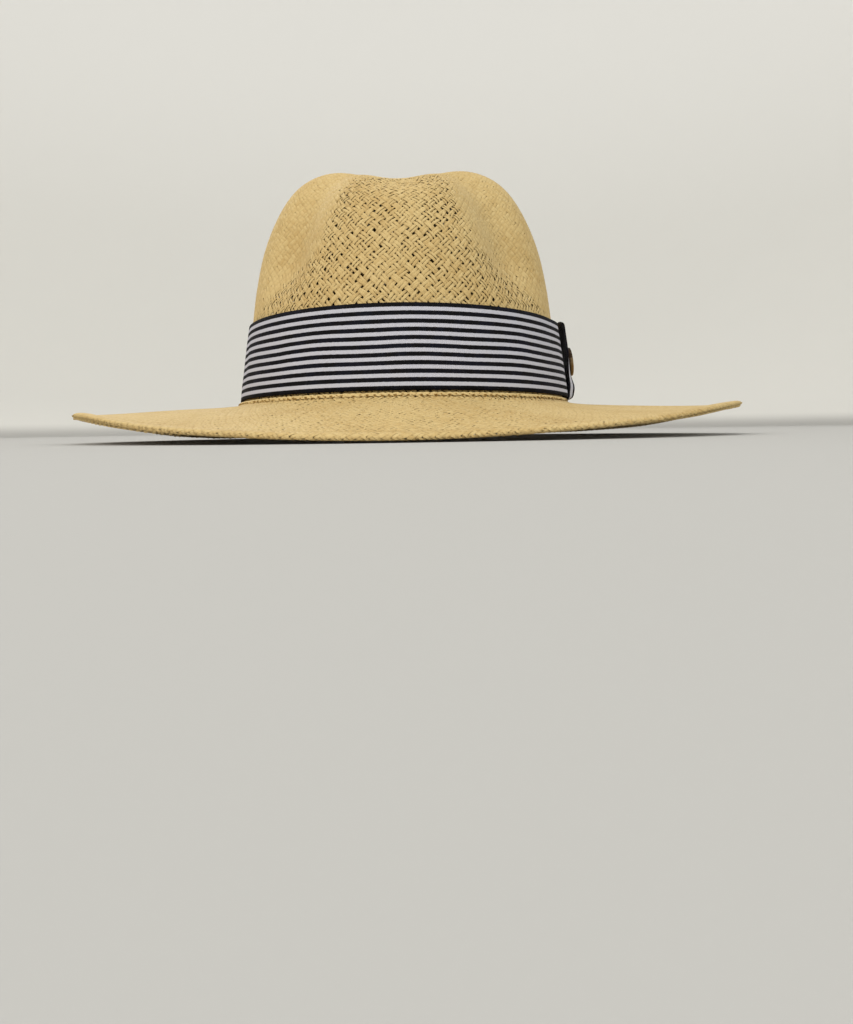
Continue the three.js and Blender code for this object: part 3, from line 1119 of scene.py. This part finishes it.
@dataclass
class JoinRow:
    """The twined row where the crown's foot meets the brim, just under the ribbon."""

    form: HatForm
    straw: bpy.types.Material
    seed: int = SEED + 3
    twists: int = 84
    rings_per_twist: int = 12
    swing: float = 0.34
    flatness: float = 0.9
    half_width: float = 0.76
    half_thick: float = 0.4

    # Where it lies: sections up the crown's foot, off the crown's face and down.
    climb: float = 0.1
    stand_off: float = 0.25
    sink: float = 0.05
    tilt: float = 0.9  # rise of the way it faces, for one unit out

    # Unevenness: waves round the hat and their size, of the twist and of the tone.
    drift: tuple = (9, 0.25)
    shade: tuple = (31, 0.2)
    # Mean tone, paler than the other straw: painted light that offsets the band's shadow.
    tone: float = 0.25
    swell: float = 0.12
    # Painted shade on the strand that is behind the other.
    under_shade_from: tuple = (-0.4, -2.0)  # start and span, in the cosine of the twist

    def build(self) -> None:
        """Make two strands that twine round each other, all round the hat."""
        count = self.twists * self.rings_per_twist
        random = np.random.default_rng(self.seed)
        turn = np.arange(count) * 360 / count
        base = self.form.crown(turn, np.full(count, self.climb))
        ahead = unit(np.roll(base, -1, 0) - np.roll(base, 1, 0))
        out = unit(np.cross(ahead, np.array([0.0, 0.0, 1.0])))
        slope = unit(out + np.array([0.0, 0.0, self.tilt]))
        across = np.cross(slope, ahead)
        angle = np.radians(turn)
        waves, drift = self.drift
        tone_waves, shade = self.shade
        plaits = []
        for strand in range(2):
            phase = 2 * math.pi * (np.arange(count) / self.rings_per_twist + strand / 2)
            phase = phase + drift * wave(angle, waves, 2.0 * strand)
            centre = base + slope * (self.swing * np.cos(phase))[:, None] + out * self.stand_off
            centre = centre - across * (self.swing * self.flatness * np.sin(phase))[:, None]
            centre[:, 2] -= self.sink
            tone = self.tone + shade * wave(angle, tone_waves, strand)
            width = self.half_width * (1 + self.swell * random.normal(0, 1, count))
            # Painted shade on the strand that twines behind the other.
            under = ramp(np.cos(phase), *self.under_shade_from)
            rings = (ring[None] for ring in (centre, slope, width, tone, under))
            plaits.append(Plait(*rings, self.half_thick, closed=True))
        show(plaited_mesh("join_row", plaits, self.form), self.straw, "straw_crown", "crown")


@dataclass
class TipKnot:
    """The little square of plain weave at the middle of the tip, from which the strands start."""

    form: HatForm
    straw: bpy.types.Material
    seed: int = SEED + 4
    strands: int = 6
    pitch: float = 1.35
    reach: float = 6.0
    half_width: float = 0.6
    lift: float = 0.26
    end_lift: float = -2.6  # of the strands' ends, in lifts
    climb: float = 0.85  # sections down the crown for a reach as wide as the last oval
    proud: float = 0.35
    tone: tuple = (0.5, 0.2)

    def build(self) -> None:
        """Make two sets of straight strands that pass over and under each other in turn."""
        spots = (np.arange(self.strands) - (self.strands - 1) / 2) * self.pitch
        across = np.concatenate([[-self.reach], spots, [self.reach]])
        strand, ring = np.meshgrid(spots, across, indexing="ij")
        index, place = np.indices(strand.shape)
        random = np.random.default_rng(self.seed)
        side, front = (column(CROWN_SECTIONS, CROWN_COLUMNS, name)[-2] for name in ("side", "front"))
        plaits = []
        for set_number, (x, y) in enumerate(((ring, strand), (-strand, ring))):
            over = np.where((index + place + set_number) % 2 == 0, 1.0, -1.0)
            over[:, [0, -1]] = self.end_lift
            turn = np.degrees(np.arctan2(x, -y))
            reach = np.hypot(x / side, y / front)
            point = self.form.crown(turn, self.form.top - self.climb * reach)
            point[..., 0], point[..., 1] = x, y
            point[..., 2] += over * self.lift - STRAW_WALL / 2 + self.proud
            normal = np.broadcast_to(np.array([0.0, 0.0, 1.0]), point.shape)
            tone = np.clip(random.normal(*self.tone, (self.strands, 1)) + 0 * x, 0, 1)
            width = np.full(x.shape, self.half_width)
            # The last value is painted shade where a strand passes under the other set.
            plaits.append(Plait(point, normal, width, tone, np.clip((1 - over) / 2, 0, 1)))
        show(plaited_mesh("tip_knot", plaits, self.form), self.straw, "straw_crown", "crown")


# ---- Ribbon and emblem --------------------------------------------------------------------------


class Bench:
    """Modelling by hand: primitives, edit-mode operators and applied modifiers."""

    MERGE = 1e-6  # distance in metres within which points are merged

    @staticmethod
    def clear() -> None:
        """Deselect everything and leave edit mode."""
        if bpy.context.mode != "OBJECT":
            bpy.ops.object.mode_set(mode="OBJECT")
        bpy.ops.object.select_all(action="DESELECT")

    @staticmethod
    def sheet(name: str, columns: int, rows: int) -> bpy.types.Object:
        """A flat sheet of square cells with its own map, one unit wide and long.

        Args:
            name: The piece's name.
            columns: Cells along it.
            rows: Cells across it.

        Returns:
            The sheet, the only thing selected.
        """
        Bench.clear()
        bpy.ops.mesh.primitive_grid_add(x_subdivisions=columns, y_subdivisions=rows, size=1)
        piece = bpy.context.object
        piece.name = piece.data.name = name
        return piece

    @staticmethod
    def bend(piece: bpy.types.Object, shape: Callable, form: HatForm) -> None:
        """Bend a sheet to a shape and close it on itself.

        Args:
            piece: The sheet.
            shape: Gives points of the hat's frame from shares along and across the sheet.
            form: The hat, for its place.
        """
        flat = np.zeros(len(piece.data.vertices) * 3)
        piece.data.vertices.foreach_get("co", flat)
        flat = flat.reshape(-1, 3) + 0.5
        piece.data.vertices.foreach_set("co", form.to_world(shape(flat[:, 0], flat[:, 1])).ravel())
        bpy.ops.object.mode_set(mode="EDIT")
        bpy.ops.mesh.select_all(action="SELECT")
        bpy.ops.mesh.remove_doubles(threshold=Bench.MERGE)
        bpy.ops.mesh.normals_make_consistent(inside=False)
        bpy.ops.object.mode_set(mode="OBJECT")

    @staticmethod
    def apply(piece: bpy.types.Object, kind: str, **settings: Any) -> None:
        """Add a modifier with these settings and apply it."""
        bpy.context.view_layer.objects.active = piece
        modifier = piece.modifiers.new(kind.title(), kind)
        for name, value in settings.items():
            setattr(modifier, name, value)
        bpy.ops.object.modifier_apply(modifier=modifier.name)

    @staticmethod
    def thicken(piece: bpy.types.Object, thickness: float) -> None:
        """Give a sheet its thickness in millimetres, half to each side, and shade it smooth."""
        settings = {"thickness": thickness * MM, "offset": 0.0, "use_even_offset": True}
        Bench.apply(piece, "SOLIDIFY", **settings)
        piece.data.shade_smooth()


@dataclass
class RibbonBand:
    """The ribbon round the crown, which bellies and sags a little between the places that hold it."""

    form: HatForm
    finish: bpy.types.Material
    columns: int = 420
    rows: int = 21
    middle: float = 0.85
    thickness: float = 0.6
    margin: float = 0.15
    samples: int = 721

    # Unevenness; its waves are given by their crests round the hat and their phase.
    ripple: float = 0.16
    ripple_waves: tuple = ((23, 0.7), (5, 1.1))
    fine_ripple: float = 0.5  # share of the ripple
    fine_waves: tuple = (41, 5)  # the phase is that of the upper selvedge
    sag: float = 0.22
    sag_waves: tuple = (11, 0.4)

    # Beside the keeper, which holds it, it stands off; places are degrees from its ends.
    stand_off: float = 1.4
    stand_off_at: tuple = (15.0, 7.0)  # middle and width
    free_from: tuple = (10.3, 2.4)  # start and span

    def shape(self, along: np.ndarray, across: np.ndarray) -> np.ndarray:
        """Points of the ribbon's middle; it starts and ends behind the keeper."""
        turn = KEEPER_TURN + 360 * along
        angle = np.radians(turn)
        arch = np.sin(math.pi * across)
        first, second = (wave(angle, *waves) for waves in self.ripple_waves)
        crests, phase = self.fine_waves
        ripple = first * second + self.fine_ripple * wave(angle, crests, phase * across)
        beside = 360 * np.minimum(along, 1 - along)
        free = self.stand_off * bell(beside, *self.stand_off_at) * ramp(beside, *self.free_from)
        sag = self.sag * wave(angle, *self.sag_waves) * arch**2
        height = self.margin + across * (RIBBON_WIDTH - 2 * self.margin) + sag
        return self.form.beside_crown(turn, height, self.middle + self.ripple * ripple * arch + free)

    def girth(self) -> float:
        """Length round the crown along the ribbon's middle."""
        along = np.linspace(0, 1, self.samples)
        points = self.shape(along, np.full(self.samples, 0.5))
        return float(np.linalg.norm(np.diff(points, axis=0), axis=1).sum())

    def build(self) -> None:
        """Make the ribbon, give it its thickness and work out its length round the crown."""
        band = Bench.sheet("ribbon_band", self.columns, self.rows)
        Bench.bend(band, self.shape, self.form)
        Bench.thicken(band, self.thickness)
        show(band, self.finish, "ribbon", "hat_band")
        self.girth() * MM


@dataclass
class Keeper:
    """A short length of the same ribbon folded into an upright loop over the band's join."""

    form: HatForm
    finish: bpy.types.Material
    length: float = 85.5
    columns: int = 84
    rows: int = 42
    thickness: float = 0.6
    fold: float = 1.75  # radius of the loop's four corners
    fold_points: int = 9
    start: float = 20.0  # height of the ribbon's start on the loop's back
    slip: float = 0.8  # degrees that it has slipped back

    # The face bellies out low down, at a middle and a width in height, and a little all over.
    belly: float = 1.5
    belly_at: tuple = (6.0, 4.5)
    puff: float = 0.2

    # The loop's edges are held in near its foot, below a start, over a span and over a width.
    held: float = 0.8
    held_from: tuple = (23.0, -20.0)
    held_width: float = 3.2

    # Waves of the edges: their number round the loop and phase, and their size in half widths.
    edge_waves: tuple = (3, 1)
    edge_size: float = 0.012

    @property
    def back(self) -> float:
        """Stand-off of the middle of the ribbon at the loop's back, over the band."""
        return 2 * GAP + RIBBON_WALL + self.thickness / 2

    def outline(self, along: np.ndarray) -> tuple[np.ndarray, np.ndarray]:
        """Height and stand-off of the loop's middle at shares of the way round it.

        Args:
            along: Shares, from the middle of the back down, under, up the face and over.

        Returns:
            Heights and stand-offs.
        """
        half, back, corner = self.thickness / 2, self.back, self.fold
        foot, top = KEEPER_FOOT + half, KEEPER_TOP - half
        out_foot, out_top = STAND_OFF_FOOT - half, STAND_OFF_TOP - half
        angles = np.radians(np.linspace(0, 90, self.fold_points))
        points = [(self.start, back)]
        for height, stand_off, first in (
            (foot + corner, back + corner, 180),
            (foot + corner, out_foot - corner, 270),
            (top - corner, out_top - corner, 0),
            (top - corner, back + corner, 90),
        ):
            turn = np.radians(first) + angles
            points += list(zip(height + corner * np.sin(turn), stand_off + corner * np.cos(turn)))
        points.append((self.start, back))
        points = np.array(points)
        steps = np.linalg.norm(np.diff(points, axis=0), axis=1)
        length = np.concatenate([[0], np.cumsum(steps)])
        height, stand_off = (np.interp(along * length[-1], length, line) for line in points.T)
        puff = self.puff * np.sin(math.pi * ramp(height, foot, top - foot))
        puff = puff + self.belly * bell(height, *self.belly_at)
        return height, stand_off + ramp(stand_off, back, out_foot - back) * puff

    def shape(self, along: np.ndarray, across: np.ndarray) -> np.ndarray:
        """Points of the loop's middle."""
        height, stand_off = self.outline(along)
        inward = KEEPER_WIDTH * np.minimum(across, 1 - across)
        held = self.held * ramp(height, *self.held_from) * bell(inward, 0, self.held_width)
        beyond = np.maximum(stand_off - self.back, 0) * (1 - held)
        front = float(self.form.crown_reach(np.full(1, RIBBON_WIDTH / 2))[1][0])
        half_turn = math.degrees(math.asin(KEEPER_WIDTH / 2 / front))
        edge = 1 - self.edge_size * wave(2 * math.pi * along, *self.edge_waves)
        turn = KEEPER_TURN + self.slip + half_turn * (2 * across - 1) * edge
        return self.form.beside_crown(turn, height, np.minimum(stand_off, self.back) + beyond)

    def build(self) -> None:
        """Make the loop and give it its thickness."""
        keeper = Bench.sheet("ribbon_keeper", self.columns, self.rows)
        Bench.bend(keeper, self.shape, self.form)
        Bench.thicken(keeper, self.thickness)
        show(keeper, self.finish, "ribbon", "band_keeper")


@dataclass
class Emblem:
    """A plain round badge: a rolled rim, a sunk dish and a low boss in the middle."""

    form: HatForm
    finish: bpy.types.Material
    height: float = 20.2
    radius: float = 7.6
    thickness: float = 2.4
    sides: int = 72
    bevel: float = 0.22
    bevel_segments: int = 3
    bevel_angle: float = 0.6  # radians

    # Wear, and painted shade on the badge's top, in shares of the rim's.
    wear_depth: float = 0.5  # depth below the rim's top at which it ends
    rim: float = 0.8  # share of the radius where the rim's wear starts
    inner_wear: float = 0.55
    hollow_wear: float = 0.25
    # Painted shade: the badge is darker towards its top.
    high_wear: float = 0.3  # at the badge's top

    # Insets of the badge's face, from its rim in to its middle: the width and the rise of each.
    FACE = ((0.35, 0.0), (0.6, 0.0), (0.45, -0.55), (0.35, -0.1), (1.7, 0.0), (0.25, 0.32), (0.9, 0.12))
    UPWARD = 0.9  # least height of a normal that points up

    def build(self) -> None:
        """Turn the badge up from a flat cylinder and seat it on the keeper's face."""
        Bench.clear()
        bpy.ops.mesh.primitive_cylinder_add(
            vertices=self.sides, radius=self.radius * MM, depth=self.thickness * MM
        )
        badge = bpy.context.object
        badge.name = badge.data.name = "round_emblem"
        badge.data.transform(Matrix.Translation((0, 0, self.thickness * MM / 2)))
        bpy.ops.object.mode_set(mode="EDIT")
        bpy.ops.mesh.select_all(action="DESELECT")
        bpy.ops.object.mode_set(mode="OBJECT")
        for face in badge.data.polygons:
            face.select = face.normal.z > self.UPWARD
        bpy.ops.object.mode_set(mode="EDIT")
        for inset, rise in self.FACE:
            bpy.ops.mesh.inset(thickness=inset * MM, depth=rise * MM)
        bpy.ops.object.mode_set(mode="OBJECT")
        edges = {"limit_method": "ANGLE", "angle_limit": self.bevel_angle}
        Bench.apply(badge, "BEVEL", width=self.bevel * MM, segments=self.bevel_segments, **edges)
        badge.data.shade_smooth()
        wear = badge.data.attributes.new("wear", "FLOAT", "POINT").data
        wear.foreach_set("value", self.wear(badge))
        badge.data.transform(self.seat())
        show(badge, self.finish, "emblem_metal", "emblem")

    def wear(self, badge: bpy.types.Object) -> np.ndarray:
        """How far the tarnish is rubbed off each point of the badge, with painted shade darker towards
        its top, before it is seated.
        """
        x, y, z = np.array([point.co for point in badge.data.vertices]).T / MM
        raised = ramp(z, self.thickness - self.wear_depth, self.wear_depth)
        raised = raised * np.where(np.hypot(x, y) > self.rim * self.radius, 1, self.inner_wear)
        # Painted shade: darker towards the badge's top.
        low = np.clip(0.5 - y / self.radius, 0, 1)
        return mix(self.hollow_wear, 1, raised) * mix(self.high_wear, 1, low)

    def keeper_face(self, height: float) -> np.ndarray:
        """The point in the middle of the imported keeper's outer face at a height."""
        share = (height - KEEPER_FOOT) / (KEEPER_TOP - KEEPER_FOOT)
        stand_off = mix(STAND_OFF_FOOT, STAND_OFF_TOP, share)
        place = (np.array([value]) for value in (KEEPER_TURN, height, stand_off))
        return self.form.beside_crown(*place)[0]

    def seat(self) -> Matrix:
        """The place of the badge's back on the keeper's outer face, in the world."""
        high, low = (self.keeper_face(self.height + reach) for reach in (self.radius, -self.radius))
        slope = high - low
        lean = math.atan2(-slope[0], slope[2])
        outward = np.array([math.cos(lean), 0.0, math.sin(lean)])
        middle = self.keeper_face(self.height) + outward * GAP
        spots = self.form.to_world(np.array([middle, middle + outward, middle + slope]))
        z = Vector(spots[1] - spots[0]).normalized()
        x = Vector(spots[2] - spots[0]).cross(z).normalized()
        turned = Matrix((x, z.cross(x), z)).transposed().to_4x4()
        return Matrix.Translation(Vector(spots[0])) @ turned


# ---- Studio -------------------------------------------------------------------------------------


@dataclass(frozen=True)
class Lamp:
    """A round soft lamp: its place and its size in metres, its power in watts and its colour."""

    name: str
    place: tuple
    size: float
    power: float
    colour: tuple

    def build(self, aim: tuple) -> None:
        """Hang the lamp and turn it to a place."""
        lamp = bpy.data.lights.new(self.name, "AREA")
        lamp.shape, lamp.size = "DISK", self.size
        lamp.energy, lamp.color = self.power, self.colour
        holder = bpy.data.objects.new(self.name, lamp)
        holder.location = self.place
        direction = Vector(aim) - Vector(self.place)
        holder.rotation_euler = direction.to_track_quat("-Z", "Y").to_euler()
        bpy.context.collection.objects.link(holder)


@dataclass
class Studio:
    """A pale floor that curves up into a round wall, soft lamps and the camera."""

    paper: bpy.types.Material
    floor_radius: float = 2.6
    sides: int = 96
    cove: float = 0.9
    cove_steps: int = 10
    wall: float = 1.2

    lens: float = 19.9
    sensor: float = 24.0
    clip: tuple = (0.001, 20.0)
    camera_place: tuple = (0.0083, -0.467, 0.0042)
    pitch: float = 5.52
    roll: float = -0.88

    aim: tuple = (0, 0, 0.05)
    sky: tuple = (0.95, 0.95, 0.93, 1)
    sky_strength: float = 0.88
    lamps: tuple = (
        Lamp("key_lamp", (-1.3, -2.0, 1.4), 2.0, 39.5, (1.0, 0.985, 0.94)),
        Lamp("fill_lamp", (1.6, -1.9, 0.9), 1.8, 20.5, (0.84, 0.945, 1.0)),
        Lamp("top_lamp", (-0.3, 0.2, 2.4), 2.0, 10.5, (1.0, 0.99, 0.97)),
        Lamp("back_lamp", (-0.6, 2.0, 1.5), 1.6, 8.0, (1.0, 0.99, 0.97)),
    )

    def build(self) -> None:
        """Make the room, the lamps, the sky and the camera."""
        self.build_room()
        for lamp in self.lamps:
            lamp.build(self.aim)
        self.build_sky()
        self.build_camera()
        view = bpy.context.scene.view_settings
        view.view_transform = "Standard"
        view.look = "None"

    def build_room(self) -> None:
        """Draw the floor's rim up through a quarter circle into the wall."""
        Bench.clear()
        floor = {"radius": self.floor_radius, "fill_type": "NGON"}
        bpy.ops.mesh.primitive_circle_add(vertices=self.sides, **floor)
        room = bpy.context.object
        room.name = room.data.name = "studio_room"
        bpy.ops.object.mode_set(mode="EDIT")
        bpy.ops.mesh.select_mode(type="EDGE")
        bpy.ops.mesh.select_all(action="SELECT")
        reach, height = self.floor_radius, 0.0
        for step in range(1, self.cove_steps + 1):
            angle = math.radians(90 * step / self.cove_steps)
            wide = self.floor_radius + self.cove * math.sin(angle)
            up = self.cove * (1 - math.cos(angle))
            bpy.ops.mesh.extrude_edges_move(TRANSFORM_OT_translate={"value": (0, 0, up - height)})
            bpy.ops.transform.resize(value=(wide / reach, wide / reach, 1))
            reach, height = wide, up
        bpy.ops.mesh.extrude_edges_move(TRANSFORM_OT_translate={"value": (0, 0, self.wall)})
        bpy.ops.object.mode_set(mode="OBJECT")
        room.data.shade_smooth()
        room.data.materials.append(self.paper)

    def build_sky(self) -> None:
        """Make an even sky."""
        world = bpy.data.worlds.new("studio_sky")
        world.use_nodes = True
        sky = world.node_tree.nodes["Background"]
        sky.inputs["Color"].default_value = self.sky
        sky.inputs["Strength"].default_value = self.sky_strength
        bpy.context.scene.world = world

    def build_camera(self) -> None:
        """Set the camera low in front of the hat, looking a little down."""
        lens = bpy.data.cameras.new("camera")
        lens.sensor_width, lens.lens = self.sensor, self.lens
        lens.clip_start, lens.clip_end = self.clip
        camera = bpy.data.objects.new("camera", lens)
        camera.location = self.camera_place
        upright = Matrix.Rotation(math.radians(90 - self.pitch), 4, "X")
        turned = upright @ Matrix.Rotation(math.radians(self.roll), 4, "Z")
        camera.rotation_euler = turned.to_euler()
        bpy.context.collection.objects.link(camera)
        bpy.context.scene.camera = camera


def main() -> None:
    """Build the hat and its studio."""
    logging.basicConfig(level=logging.INFO, format="%(message)s")
    form = HatForm()
    straw = StrawFinish().material()
    Crown(form, straw).build()
    Brim(form, straw).build()
    JoinRow(form, straw).build()
    TipKnot(form, straw).build()
    RibbonBand(form, RibbonFinish().material()).build()
    Keeper(form, RibbonFinish("keeper_ribbon", length=Keeper.length).material()).build()
    Emblem(form, BrassFinish().material()).build()
    Studio(PaperFinish().material()).build()


if __name__ == "__main__":
    main()
